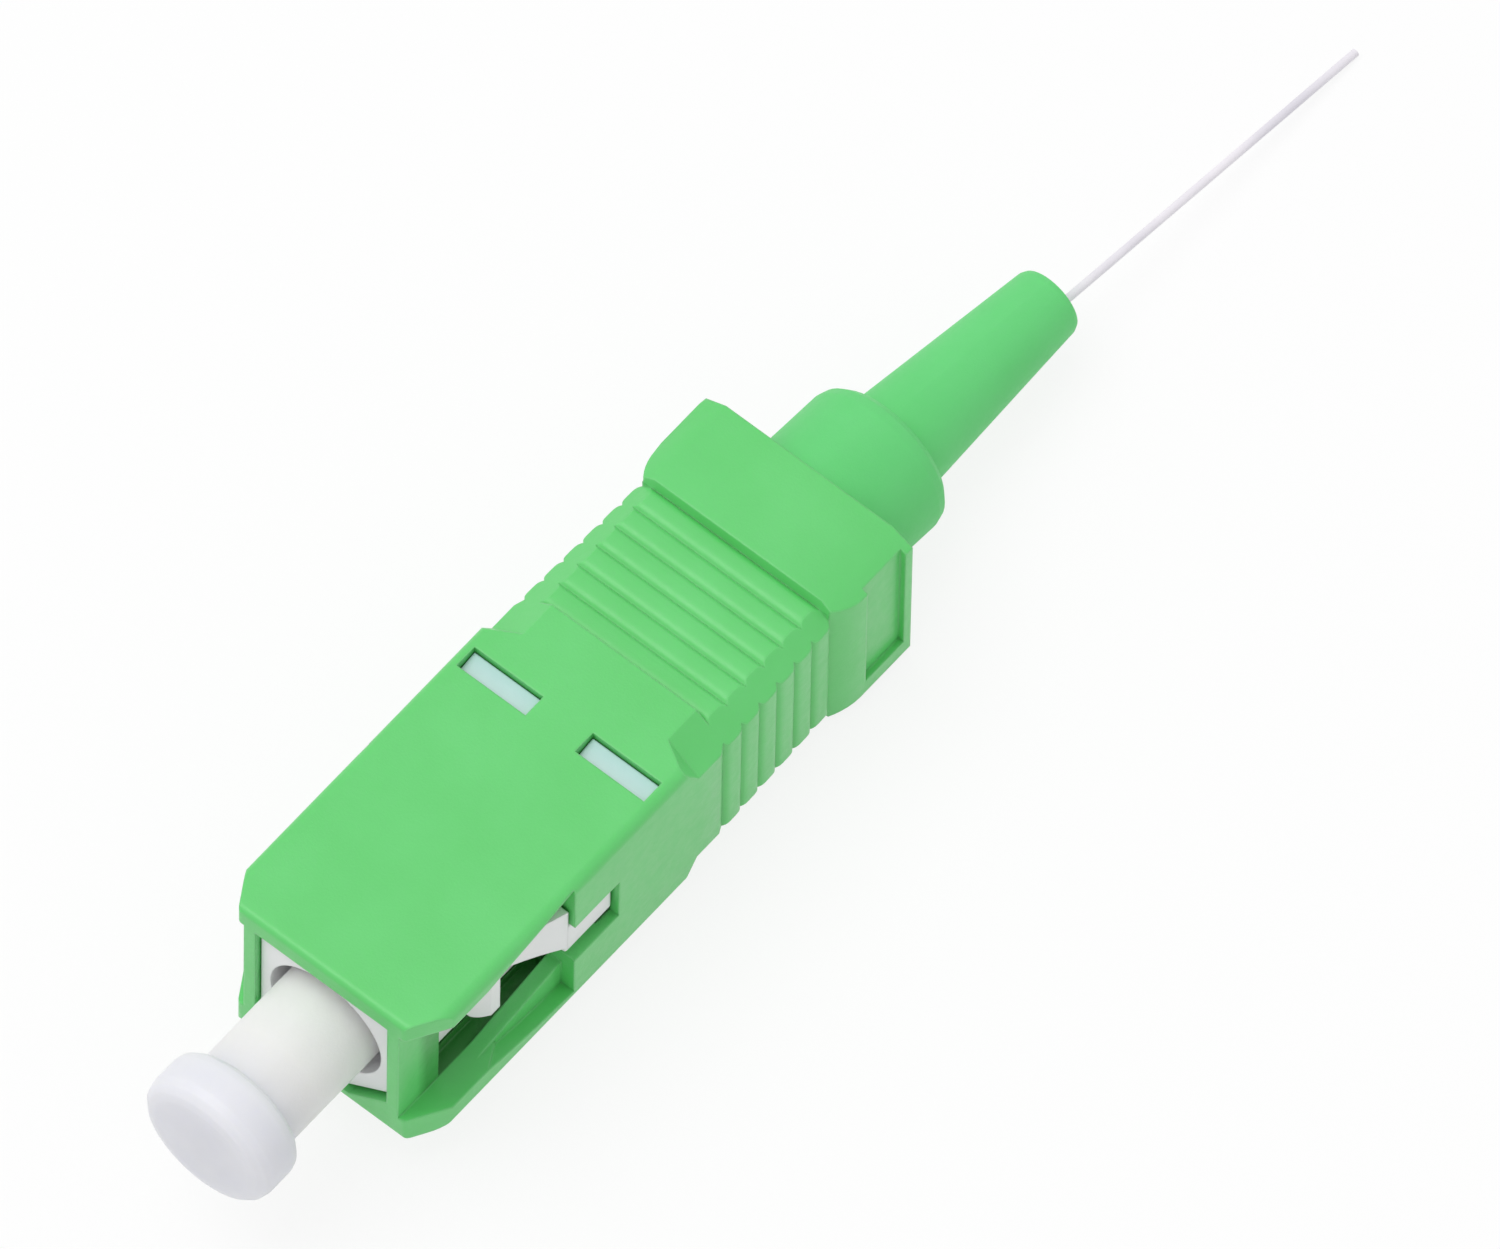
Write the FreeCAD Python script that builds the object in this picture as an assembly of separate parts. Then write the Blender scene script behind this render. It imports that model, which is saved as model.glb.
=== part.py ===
"""SC/APC fibre connector plug: grip, plug frame, sprung ferrule, boot, fibre stub and dust cap.

Millimetres.  X runs along the plug: x = 0 is the front plane of the grip, -X is the mating
direction, +X the boot and the fibre.  Y is the width and +Z the broad face without the key.
The optical axis is the X axis.
"""
import FreeCAD, Part
import math
import os

V = FreeCAD.Vector
X_AXIS = V(1, 0, 0)

# ---------------------------------------------------------------- driving dimensions
# running clearances
SLIDE_GAP = 0.06          # plug frame in the grip, each side
BOOT_GAP = 0.12           # boot collar in the grip's rear opening
BORE_GAP = 0.02           # ferrule in the dust cap, stop ring in the plug frame
END_GAP = 0.05            # end play at a seat

QUARTER_FLATS = 3         # flats that stand for a quarter of a turned round
MIDDLE_LAP = 0.5          # halves that are mirrored reach this far past the middle
LAP = 0.1                 # overlap of shapes that are joined or cut
OVERSHOOT = 1             # cuts reach this far past the faces that they open

# travels
GRIP_TRAVEL = 1.2         # plug frame forward in the grip (grip pulled back to unlatch)

# grip, outside
GRIP_LENGTH = 25.35
GRIP_WIDTH = 8.99
GRIP_HEIGHT = 7.39
EDGE_RADIUS = 0.45        # long edges of the front half
RIM_ROUND = 0.25          # outer edge of the front face
TOP_PLATE = 0.84          # broad wall without the key
LOW_PLATE = 1.20          # broad wall that carries the key
NOSE_LENGTH = 1.5         # plan chamfer at the front corners
NOSE_INSET = 0.895        # the chamfer's reach across the width, each side
WAIST_START = 14.2        # the corner bevel starts here
RIB_START = 15.7
RIB_PITCH = 0.965
RIB_COUNT = 6
RIB_SINK = 0.30           # rib crests below the plates
RIB_DEPTH = 0.26
RIB_RUN_IN = 0.35         # the narrow side falls to the first groove over this length
RIB_SIDE_SINK = 0.02      # rib crests inside the narrow sides, at the front
RIB_SIDE_CONVERGE = 0.26  # and this much further in at the rear
RIB_SIDE_DEPTH = 0.20
BEVEL_WIDTH = 1.36        # corner bevel of the waist and the ribs, across the width
BEVEL_HEIGHT = 1.10
BLOCK_RISE = 0.12         # front of the rear block, steep
BLOCK_BEVEL_WIDTH = 0.87
BLOCK_BEVEL_HEIGHT = 0.45
FLARE_LENGTH = 1.4        # rear block grows to its full width over this length
SWELL_PLACE = 0.4         # its bow passes through this share of the length
SWELL_LEFT = 0.3          # with this share of the growth still to come
PANEL_LENGTH = 2.35       # sunk panel on each narrow side of the rear block, from the grip's rear end
PANEL_DEPTH = 0.24
PANEL_RIM = 0.36          # wall left behind the panel
PANEL_LOW = 2.5           # lower edge of the panel, below the axis

# grip, latch channel in each narrow side
CHANNEL_DEPTH = 1.135     # from the narrow side in to the thin web
WEB_WALL = 0.50
WINDOW_START = 2.1        # opening in the web
CHANNEL_END = 7.8
REAR_WINDOW_END = 10.1
REAR_WINDOW_HEIGHT = 2.2
SCOOP_START = 3.3         # hollow that leads an adapter hook in
SCOOP_SLANT = 1.1         # its front boundary runs back towards the axis by this much
SCOOP_DEPTH = 0.64
SCOOP_BOW = 0.62          # share of the depth reached halfway along
RAMP_START = 3.4          # release ramp beside the scoop
RAMP_RISE = 0.75
RAMP_SINK = 0.575         # ramp's edge inside the narrow side

# key on the -Z face
KEY_WIDTH = 2.2
KEY_HEIGHT = 1.15
KEY_START = 1.2
KEY_END = 10.2
KEY_LEAD = 0.6            # sloped front of the key

# retaining bosses of the plug frame and their windows in both plates
BOSS_START = 11.88
BOSS_LENGTH = 0.85
BOSS_INNER = 1.12
SIDE_WALL = 0.475         # grip's narrow wall outside the boss windows and the wings
BOSS_SINK = 0.26          # boss crest below the plate's face
BOSS_RAMP = 0.16
POCKET_SKIN = 0.23        # wall left over the pocket that the boss slides into
BOSS_PLAY = 0.04          # window and pocket beside the boss
BOSS_PLAY_FRONT = 0.03    # window in front of the boss

# plug frame; its lower corners are bevelled so that it enters the grip one way up
FRAME_START = 0.25
FRAME_LOW = 3.15          # lower face, below the axis
KEYED_SIDE = 1.75         # the narrow sides reach this far below the axis
KEYED_FLAT = 1.0          # half width of the lower face
KEYED_GAP = 0.25          # between the bevelled corners and the grip
FRAME_END = 13.7
WING_START = 10.6         # widened rear of the frame
FRAME_CORNER = 0.25
SLEEVE_WALL = 0.40        # frame's narrow wall beside the front bore
SLEEVE_DEPTH = 6.6
SEAT_WALL = 0.8
FERRULE_HOLE = 2.8
SPRING_BORE = 4.2
CATCH_START = 3.75
CATCH_LENGTH = 1.15
CATCH_HEIGHT = 2.35
CATCH_SINK = 0.815        # catch's crest inside the grip's narrow side
CATCH_NOSE = 0.55         # rounded front of the catch
CATCH_LEAD = 0.70         # its crest slopes off over this length
CATCH_LEAD_RISE = 0.50
HOOK_WALL_START = 5.0     # curved wall behind the catch
HOOK_WALL_END = 7.7
HOOK_WALL_FRONT_SINK = 1.075   # its outer face inside the grip's narrow side, at the front
HOOK_WALL_SINK = 0.215    # and at the rear
HOOK_WALL_HIGH = 0.70     # its lower edge at the front, above the axis
HOOK_WALL_LOW = 0.35      # and at the rear, below the axis
HOOK_WALL_CROWN = 0.12    # the lower edge bows up by this much
RAIL_SINK = 0.795         # rail from the hook wall to the wings, inside the grip's narrow side
RAIL_GAP = 0.12           # above and below the rail in the grip's rear window
SIDE_ROOT = 0.2           # catch and hook wall reach this far into the frame

# ferrule and its holder
FERRULE_DIA = 2.5
FERRULE_TIP = -0.9
FERRULE_LENGTH = 10.4
APC_ANGLE = 8.0
TIP_CHAMFER = 0.35
TIP_CHAMFER_LENGTH = 0.6
TIP_POLISH = 0.13         # ground off the tip on its axis
CAPILLARY_DIA = 0.5
HOLDER_COLLAR_DIA = 3.9
HOLDER_COLLAR_LENGTH = 1.3
HOLDER_NOTCH = 0.7
CUP_FLOOR = 1.1           # wall between the ferrule's end and the tube
HOLDER_CUP_DIA = 3.3
HOLDER_TUBE_DIA = 2.0
HOLDER_TUBE_LENGTH = 7.2
LINER_DIA = 1.2
LINER_BORE = 0.9
LINER_PROUD = 0.5

# spring
SPRING_WIRE = 0.36
SPRING_DIA = 2.9
SPRING_TURNS = 4.5
SPRING_FLATS = 6          # the wire is drawn with flats

# stop ring
STOP_FRONT = 12.2
STOP_WALL = 0.33
STOP_SHOULDER = 0.9
STOP_SHOULDER_DIA = 5.0
STOP_BODY_DIA = 4.4
STOP_SPRING_SEAT = 15.6
STOP_TAIL_START = 20.4
STOP_TAIL_DIA = 3.4
STOP_TAIL_END = 26.2
STOP_BORE = 2.4
TAIL_GROOVES = 2
TAIL_GROOVE_WIDTH = 0.24
TAIL_GROOVE_DEPTH = 0.16

# boot
BOOT_REACH = 2.35         # the boot starts this far inside the grip's rear end
BOOT_BEND_REACH = 1.9     # the boot leans from here on, still inside the grip
BOOT_LEAN = 3.1           # degrees off the axis
BOOT_LEAN_ROLL = 48.0     # direction of the lean, degrees from -Z towards -Y
COLLAR_DIA = 5.9
COLLAR_END = 29.35
COLLAR_ROUND = 0.7
TAPER_DIA = 3.9
NECK_ROUND = 0.2          # where the taper leaves the collar
TIP_DIA = 2.7
BOOT_END = 37.5
TIP_ROUND = 0.25
BOOT_BORE = 1.1

# dust cap
CAP_FRONT = -6.2
CAP_FLANGE_DIA = 5.36
CAP_FLANGE_LENGTH = 2.1
CAP_ROUND = 0.62
CAP_REAR_ROUND = 0.5
CAP_NECK_GAP = 0.37       # between the neck and the plug frame's front bore
CAP_NECK_FILLET = 0.12
CAP_REAR = 4.3
CAP_LEAD = 0.2            # lead-in of the bore
CAP_FLOOR = 2.4

# fibre: coated stub, route chosen by hand
FIBRE_DIA = 0.25
FIBRE_ROUTE = [V(17.4, 0, 0), V(26.2, 0, 0), V(37.2, -0.79, -0.64), V(44.6, -1.28, -1.13),
               V(52.05, -1.8, -1.53)]

# ---------------------------------------------------------------- derived sizes
HALF_W = GRIP_WIDTH / 2
HALF_H = GRIP_HEIGHT / 2
INNER_TOP = HALF_H - TOP_PLATE
INNER_LOW = HALF_H - LOW_PLATE
WEB_OUTER = HALF_W - CHANNEL_DEPTH
RAMP_OUTER = HALF_W - RAMP_SINK
BOSS_OUTER = HALF_W - SIDE_WALL
CATCH_OUTER = HALF_W - CATCH_SINK
HOOK_WALL_OUTER = HALF_W - HOOK_WALL_SINK
HOOK_WALL_FRONT = HALF_W - HOOK_WALL_FRONT_SINK
INNER_W = WEB_OUTER - WEB_WALL
FRAME_TOP = INNER_TOP - SLIDE_GAP
WING_LOW = INNER_LOW - SLIDE_GAP
FRAME_HALF_W = INNER_W - SLIDE_GAP
SLEEVE_BORE = 2 * (FRAME_HALF_W - SLEEVE_WALL)
CAP_NECK_DIA = SLEEVE_BORE - 2 * CAP_NECK_GAP
CHANNEL_WALL_IN = BOSS_OUTER + SLIDE_GAP
BOSS_END = BOSS_START + BOSS_LENGTH
BOSS_CREST = HALF_H - BOSS_SINK
RIB_END = RIB_START + RIB_PITCH * RIB_COUNT
REAR_BORE = COLLAR_DIA + 2 * BOOT_GAP
BOOT_START = GRIP_LENGTH - BOOT_REACH
BOOT_BEND = BOOT_START + BOOT_BEND_REACH
REAR_BORE_START = BOOT_START - GRIP_TRAVEL - END_GAP
SEAT_X = FRAME_START + SLEEVE_DEPTH + SEAT_WALL
HOLDER_FRONT = SEAT_X + END_GAP
FERRULE_END = FERRULE_TIP + FERRULE_LENGTH
HOLDER_TUBE_START = FERRULE_END + CUP_FLOOR
HOLDER_END = HOLDER_TUBE_START + HOLDER_TUBE_LENGTH
STOP_FRONT_DIA = SPRING_BORE - 2 * BORE_GAP


# ---------------------------------------------------------------- small helpers
def box(x0, x1, y0, y1, z0, z1):
    return Part.makeBox(x1 - x0, y1 - y0, z1 - z0, V(x0, y0, z0))


def rod(x0, x1, dia):
    return Part.makeCylinder(dia / 2, x1 - x0, V(x0, 0, 0), X_AXIS)


def polygon(points):
    return Part.Face(Part.makePolygon(points + [points[0]]))


def plan_prism(outline, z0, z1):
    """Closed XY outline raised from z0 to z1."""
    return polygon([V(x, y, z0) for x, y in outline]).extrude(V(0, 0, z1 - z0))


def side_prism(outline, y0, y1):
    """Closed XZ outline drawn from y0 to y1."""
    return polygon([V(x, y0, z) for x, z in outline]).extrude(V(0, y1 - y0, 0))


def section_prism(outline, x0, x1):
    """Closed YZ outline drawn from x0 to x1."""
    return polygon([V(x0, y, z) for y, z in outline]).extrude(V(x1 - x0, 0, 0))


def turned(outline):
    """Solid of revolution about the X axis from a closed outline of (x, radius) points."""
    return polygon([V(x, 0, r) for x, r in outline]).revolve(V(0, 0, 0), X_AXIS, 360)


def rounding(x, r, radius, start, end, flats=QUARTER_FLATS):
    """Points along a round about (x, r), from the start to the end angle in degrees."""
    turns = [math.radians(start + (end - start) * i / flats) for i in range(flats + 1)]
    return [(x + radius * math.cos(t), r + radius * math.sin(t)) for t in turns]


def mirror_y(shape):
    return shape.mirror(V(0, 0, 0), V(0, 1, 0))


def mirror_z(shape):
    return shape.mirror(V(0, 0, 0), V(0, 0, 1))


def four_ways(shape):
    """The shape and its mirror images in the Y and Z planes."""
    pair = [shape, mirror_y(shape)]
    return pair + [mirror_z(s) for s in pair]


def fuse(shapes):
    result = shapes[0].fuse(shapes[1:]) if len(shapes) > 1 else shapes[0]
    return result.removeSplitter()


def save(shape, name):
    assert shape.isValid(), name
    assert len(shape.Solids) == 1, name
    shape.exportStep("parts/" + name + ".step")


# ---------------------------------------------------------------- grip
def rib_edges(grooves, depth, across):
    """Scalloped line over the ribs: one low arc to each rib, a sharp groove between them."""
    edges = []
    for a, b in zip(grooves, grooves[1:]):
        crest = ((a[0] + b[0]) / 2, (a[1] + b[1]) / 2 + depth)
        edges.append(Part.Arc(across(a), across(crest), across(b)).toShape())
    return edges


def outline_solid(front, rear, low, converge, depth, across, out):
    """Half outline from the axis outwards with ribs between the front and rear edges, drawn along out."""
    head, tail = front[0], rear[-1]
    grooves = [(RIB_START + i * RIB_PITCH, low - converge * i / RIB_COUNT) for i in range(RIB_COUNT + 1)]
    edges = chain(front + [grooves[0]], across)
    edges += rib_edges(grooves, depth, across)
    edges += rear_edges(grooves[-1], rear, across)
    edges += chain([tail, (tail[0], -MIDDLE_LAP), (head[0], -MIDDLE_LAP), head], across)
    return Part.Face(Part.Wire(edges)).extrude(out)


def side_plane(y):
    """Places a side-view point in the plane at y."""
    return lambda p: V(p[0], y, p[1])


def side_arc(points, y):
    """Arc through three side-view points in the plane at y."""
    return Part.Arc(*[V(x, y, z) for x, z in points]).toShape()


def chain(points, across):
    """Straight edges through the points."""
    return [Part.LineSegment(across(a), across(b)).toShape() for a, b in zip(points, points[1:])]


def rear_edges(start, rear, across):
    """From the last groove to the rear points; where there are three, the first two make a bow."""
    if len(rear) == 2:
        return chain([start] + rear, across)
    bow = Part.Arc(across(start), across(rear[0]), across(rear[1])).toShape()
    return [bow] + chain(rear[1:], across)


def grip_outline():
    """The grip without openings: a plan, a side view and a section cut from one another."""
    wide = HALF_W + OVERSHOOT
    plan_low = HALF_W - RIB_SIDE_SINK - RIB_SIDE_DEPTH
    plan_front = [(0, HALF_W - NOSE_INSET), (NOSE_LENGTH, HALF_W), (RIB_START - RIB_RUN_IN, HALF_W)]
    # the rear block swells to its full width in a bow
    growth = HALF_W - plan_low + RIB_SIDE_CONVERGE
    swell = (RIB_END + SWELL_PLACE * FLARE_LENGTH, HALF_W - SWELL_LEFT * growth)
    plan_rear = [swell, (RIB_END + FLARE_LENGTH, HALF_W), (GRIP_LENGTH, HALF_W)]
    plan = outline_solid(plan_front, plan_rear, plan_low, RIB_SIDE_CONVERGE, RIB_SIDE_DEPTH,
                         lambda p: V(p[0], p[1], -wide), V(0, 0, 2 * wide))
    side_front = [(0, HALF_H), (RIB_START, HALF_H)]
    side_rear = [(RIB_END + BLOCK_RISE, HALF_H), (GRIP_LENGTH, HALF_H)]
    side = outline_solid(side_front, side_rear, HALF_H - RIB_SINK - RIB_DEPTH, 0, RIB_DEPTH,
                         lambda p: V(p[0], -wide, p[1]), V(0, 2 * wide, 0))
    body = plan.fuse(mirror_y(plan)).common(side.fuse(mirror_z(side)))

    front = Part.makeBox(WAIST_START, GRIP_WIDTH, GRIP_HEIGHT, V(0, -HALF_W, -HALF_H))
    long_edges = [e for e in front.Edges if abs(e.tangentAt(e.FirstParameter).x) > 0.9]
    front = front.makeFillet(EDGE_RADIUS, long_edges)
    waist = section_prism(octagon(BEVEL_WIDTH, BEVEL_HEIGHT), WAIST_START, RIB_END)
    block = section_prism(octagon(BLOCK_BEVEL_WIDTH, BLOCK_BEVEL_HEIGHT), RIB_END, GRIP_LENGTH)
    body = body.common(front.fuse([waist, block]))
    rim = [e for e in body.Edges if e.BoundBox.XMax < 0.001]
    return body.makeFillet(RIM_ROUND, rim)


def octagon(bevel_width, bevel_height):
    """Section of the grip with bevelled corners."""
    corner = [(HALF_W - bevel_width, HALF_H), (HALF_W, HALF_H - bevel_height)]
    right = corner + [(y, -z) for y, z in reversed(corner)]
    return right + [(-y, z) for y, z in reversed(right)]


def latch_channel():
    """Everything cut away to form the -Y latch channel, and the release ramps left in it."""
    y_out = -HALF_W - OVERSHOOT
    half = REAR_WINDOW_HEIGHT / 2
    cuts = [box(-OVERSHOOT, CHANNEL_END, y_out, -WEB_OUTER, -INNER_LOW, INNER_TOP),
            box(WINDOW_START, CHANNEL_END, -WEB_OUTER - LAP, -INNER_W + LAP, -INNER_LOW, INNER_TOP),
            box(CHANNEL_END - LAP, REAR_WINDOW_END, y_out, -INNER_W + LAP, -half, half),
            scoop(INNER_TOP), mirror_z(scoop(INNER_LOW))]
    return cuts, [ramp(INNER_TOP), mirror_z(ramp(INNER_LOW))]


def scoop(wall):
    """Hollow in the +Z wall of the -Y channel, deeper towards the rear, open to the side."""
    front, rear = (SCOOP_START, wall), (CHANNEL_END, wall + SCOOP_DEPTH)
    middle = ((front[0] + rear[0]) / 2, wall + SCOOP_BOW * SCOOP_DEPTH)
    edges = [side_arc([front, middle, rear], 0)]
    edges += chain([rear, (rear[0], wall - LAP), (front[0], wall - LAP), front], side_plane(0))
    trough = Part.Face(Part.Wire(edges)).extrude(V(0, -HALF_W - OVERSHOOT, 0))
    # seen in plan, the hollow starts further back near the axis
    plan = [(SCOOP_START, -HALF_W), (SCOOP_START + SCOOP_SLANT, -RAMP_OUTER), (CHANNEL_END, -RAMP_OUTER),
            (CHANNEL_END, -HALF_W - OVERSHOOT), (SCOOP_START, -HALF_W - OVERSHOOT)]
    return trough.common(plan_prism(plan, 0, HALF_H + OVERSHOOT))


def ramp(wall):
    """Release ramp on the +Z wall of the -Y channel."""
    front, rear = (RAMP_START, wall), (CHANNEL_END, wall - RAMP_RISE)
    return side_prism([front, rear, (rear[0], wall + LAP), (front[0], wall + LAP)], -RAMP_OUTER, -WEB_OUTER)


def rear_panel():
    """Sunk panel of the -Y side of the rear block: open at the top and the front, rim behind and below."""
    floor = HALF_W - PANEL_DEPTH
    return box(GRIP_LENGTH - PANEL_LENGTH, GRIP_LENGTH - PANEL_RIM, -HALF_W - OVERSHOOT, -floor,
               -PANEL_LOW, HALF_H)


def key():
    root, crest = -HALF_H + LAP, -HALF_H - KEY_HEIGHT
    outline = [(KEY_START, root), (KEY_START, -HALF_H), (KEY_START + KEY_LEAD, crest), (KEY_END, crest),
               (KEY_END, root)]
    return side_prism(outline, -KEY_WIDTH / 2, KEY_WIDTH / 2)


def make_grip():
    body = grip_outline()
    cuts, ramps = latch_channel()
    solid = body.cut(cuts + [mirror_y(c) for c in cuts])
    solid = solid.fuse(ramps + [mirror_y(r) for r in ramps] + [key()])
    # hollow for the plug frame, wider where its wings slide, then round for the stop ring and the boot
    tunnel = keyed_section(INNER_W, INNER_TOP, FRAME_LOW + SLIDE_GAP, KEYED_GAP)
    hollow = [section_prism(tunnel, -OVERSHOOT, FRAME_END + OVERSHOOT),
              box(WING_START - GRIP_TRAVEL - END_GAP, FRAME_END + END_GAP, -CHANNEL_WALL_IN, CHANNEL_WALL_IN,
                  -INNER_LOW, INNER_TOP),
              rod(FRAME_END, GRIP_LENGTH + OVERSHOOT, STOP_SHOULDER_DIA + 2 * BOOT_GAP),
              rod(REAR_BORE_START, GRIP_LENGTH + OVERSHOOT, REAR_BORE)]
    # boss windows with the pocket that a boss slides into
    beside = BOSS_INNER - BOSS_PLAY, BOSS_OUTER + BOSS_PLAY
    window = box(BOSS_START - BOSS_PLAY_FRONT, BOSS_END + END_GAP, *beside, 0, HALF_H + OVERSHOOT)
    pocket = box(BOSS_START - GRIP_TRAVEL - END_GAP, BOSS_END, *beside, 0, HALF_H - POCKET_SKIN)
    hollow += four_ways(window) + four_ways(pocket)
    hollow += [rear_panel(), mirror_y(rear_panel())]
    return solid.cut(hollow).removeSplitter()


# ---------------------------------------------------------------- plug frame
def keyed_section(half_width, top, low, gap):
    """Section of the plug frame, or of its hollow with a gap: a rectangle with bevelled lower corners."""
    side = [(half_width, top), (half_width, -KEYED_SIDE - gap), (KEYED_FLAT + gap, -low)]
    return side + [(-y, z) for y, z in reversed(side)]


def boss():
    """One retaining boss on the upper face: its top falls away towards the front."""
    root = WING_LOW - LAP
    outline = [(BOSS_START, root), (BOSS_START, BOSS_CREST - BOSS_RAMP), (BOSS_END, BOSS_CREST),
               (BOSS_END, root)]
    return side_prism(outline, BOSS_INNER, BOSS_OUTER)


def catch():
    """Latch catch on the -Y side: rounded nose, upright rear face."""
    half = CATCH_HEIGHT / 2
    end = CATCH_START + CATCH_LENGTH
    root = -FRAME_HALF_W + SIDE_ROOT
    bow = CATCH_NOSE * (1 - math.sqrt(0.5))
    upper = [(CATCH_START, half - CATCH_NOSE), (CATCH_START + bow, half - bow),
             (CATCH_START + CATCH_NOSE, half)]
    lower = [(x, -z) for x, z in reversed(upper)]
    edges = [side_arc(upper, root), *chain([upper[2], (end, half), (end, -half), lower[0]], side_plane(root)),
             side_arc(lower, root), *chain([lower[2], upper[0]], side_plane(root))]
    block = Part.Face(Part.Wire(edges)).extrude(V(0, -CATCH_OUTER - root, 0))
    crest = [(CATCH_START, -CATCH_OUTER + CATCH_LEAD_RISE), (CATCH_START + CATCH_LEAD, -CATCH_OUTER),
             (end, -CATCH_OUTER)]
    return block.common(plan_prism([(CATCH_START, root)] + crest + [(end, root)], -half, half))


def hook_wall():
    """Wall behind the catch on the -Y side: it flares outwards, its lower edge swept down to the rear."""
    top = INNER_TOP - RAMP_RISE - SLIDE_GAP
    root = -FRAME_HALF_W + SIDE_ROOT
    front, rear = (HOOK_WALL_START, HOOK_WALL_HIGH), (HOOK_WALL_END, -HOOK_WALL_LOW)
    middle = ((front[0] + rear[0]) / 2, (front[1] + rear[1]) / 2 + HOOK_WALL_CROWN)
    edges = [side_arc([front, middle, rear], root)]
    edges += chain([rear, (HOOK_WALL_END, top), (HOOK_WALL_START, top), front], side_plane(root))
    wall = Part.Face(Part.Wire(edges)).extrude(V(0, -HOOK_WALL_OUTER - root, 0))
    flare = plan_prism([(HOOK_WALL_START, root), (HOOK_WALL_START, -HOOK_WALL_FRONT),
                        (HOOK_WALL_END, -HOOK_WALL_OUTER), (HOOK_WALL_END, root)], -HALF_H, top)
    return wall.common(flare)


def rail():
    """Rail of the -Y side that joins the hook wall to the wing through the grip's rear window."""
    half = REAR_WINDOW_HEIGHT / 2 - RAIL_GAP
    return box(HOOK_WALL_END - LAP, WING_START + LAP, -HALF_W + RAIL_SINK, -FRAME_HALF_W + SIDE_ROOT,
               -half, half)


def make_plug_frame():
    body = section_prism(keyed_section(FRAME_HALF_W, FRAME_TOP, FRAME_LOW, 0), FRAME_START, FRAME_END)
    top_edges = [e for e in body.Edges if abs(e.tangentAt(e.FirstParameter).x) > 0.9 and e.CenterOfMass.z > 0]
    body = body.makeFillet(FRAME_CORNER, top_edges)
    wings = box(WING_START, FRAME_END, -BOSS_OUTER, BOSS_OUTER, -WING_LOW, FRAME_TOP)
    side_parts = [catch(), hook_wall(), rail()]
    parts = [body, wings] + four_ways(boss()) + side_parts + [mirror_y(s) for s in side_parts]
    solid = fuse(parts)
    front = rod(FRAME_START - OVERSHOOT, FRAME_START + SLEEVE_DEPTH, SLEEVE_BORE)
    hole = rod(FRAME_START, SEAT_X + LAP, FERRULE_HOLE)
    rear = rod(SEAT_X, FRAME_END + OVERSHOOT, SPRING_BORE)
    return solid.cut([front, hole, rear]).removeSplitter()


# ---------------------------------------------------------------- ferrule, holder, liner, spring
def make_ferrule():
    r = FERRULE_DIA / 2
    body = turned([(FERRULE_TIP, 0), (FERRULE_TIP, r - TIP_CHAMFER), (FERRULE_TIP + TIP_CHAMFER_LENGTH, r),
                   (FERRULE_END, r), (FERRULE_END, 0)])
    body = body.cut(rod(FERRULE_TIP - 1, FERRULE_END + 1, CAPILLARY_DIA))
    # angled polish: the tip's face leans by the APC angle about the Y axis
    ground_off = box(-FERRULE_DIA, 0, -FERRULE_DIA, FERRULE_DIA, -FERRULE_DIA, FERRULE_DIA)
    ground_off.rotate(V(0, 0, 0), V(0, 1, 0), APC_ANGLE)
    ground_off.translate(V(FERRULE_TIP + TIP_POLISH, 0, 0))
    return body.cut(ground_off)


def make_holder():
    """Turned holder: collar with four key notches, cup pressed on the ferrule, tube for the spring."""
    collar = rod(HOLDER_FRONT, HOLDER_FRONT + HOLDER_COLLAR_LENGTH, HOLDER_COLLAR_DIA)
    cup = rod(HOLDER_FRONT, HOLDER_TUBE_START, HOLDER_CUP_DIA)
    tube = rod(HOLDER_TUBE_START - LAP, HOLDER_END, HOLDER_TUBE_DIA)
    solid = collar.fuse([cup, tube])
    cuts = [rod(HOLDER_FRONT - 1, FERRULE_END, FERRULE_DIA),
            rod(FERRULE_END - LAP, HOLDER_END + 1, LINER_DIA)]
    r = HOLDER_COLLAR_DIA / 2
    notch = box(HOLDER_FRONT - 1, HOLDER_FRONT + HOLDER_COLLAR_LENGTH, -HOLDER_NOTCH / 2, HOLDER_NOTCH / 2,
                HOLDER_CUP_DIA / 2, r + 1)
    for i in range(4):
        turn = notch.copy()
        turn.rotate(V(0, 0, 0), X_AXIS, 90 * i)
        cuts.append(turn)
    return solid.cut(cuts).removeSplitter()


def make_liner():
    start = FERRULE_END + END_GAP
    end = HOLDER_END + LINER_PROUD
    return rod(start, end, LINER_DIA).cut(rod(start - 1, end + 1, LINER_BORE))


def make_spring():
    seat_play = END_GAP / 5
    start = HOLDER_TUBE_START + SPRING_WIRE / 2 + seat_play
    length = STOP_SPRING_SEAT - SPRING_WIRE / 2 - seat_play - start
    helix = Part.makeHelix(length / SPRING_TURNS, length, SPRING_DIA / 2)
    turns = [math.radians(360 * (i + 0.5) / SPRING_FLATS) for i in range(SPRING_FLATS)]
    ring = [V((SPRING_DIA + SPRING_WIRE * math.cos(t)) / 2, 0, SPRING_WIRE / 2 * math.sin(t)) for t in turns]
    coil = Part.Wire(helix.Edges).makePipeShell([Part.makePolygon(ring + [ring[0]])], True, True)
    coil.rotate(V(0, 0, 0), V(0, 1, 0), 90)
    coil.translate(V(start, 0, 0))
    return coil


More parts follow.
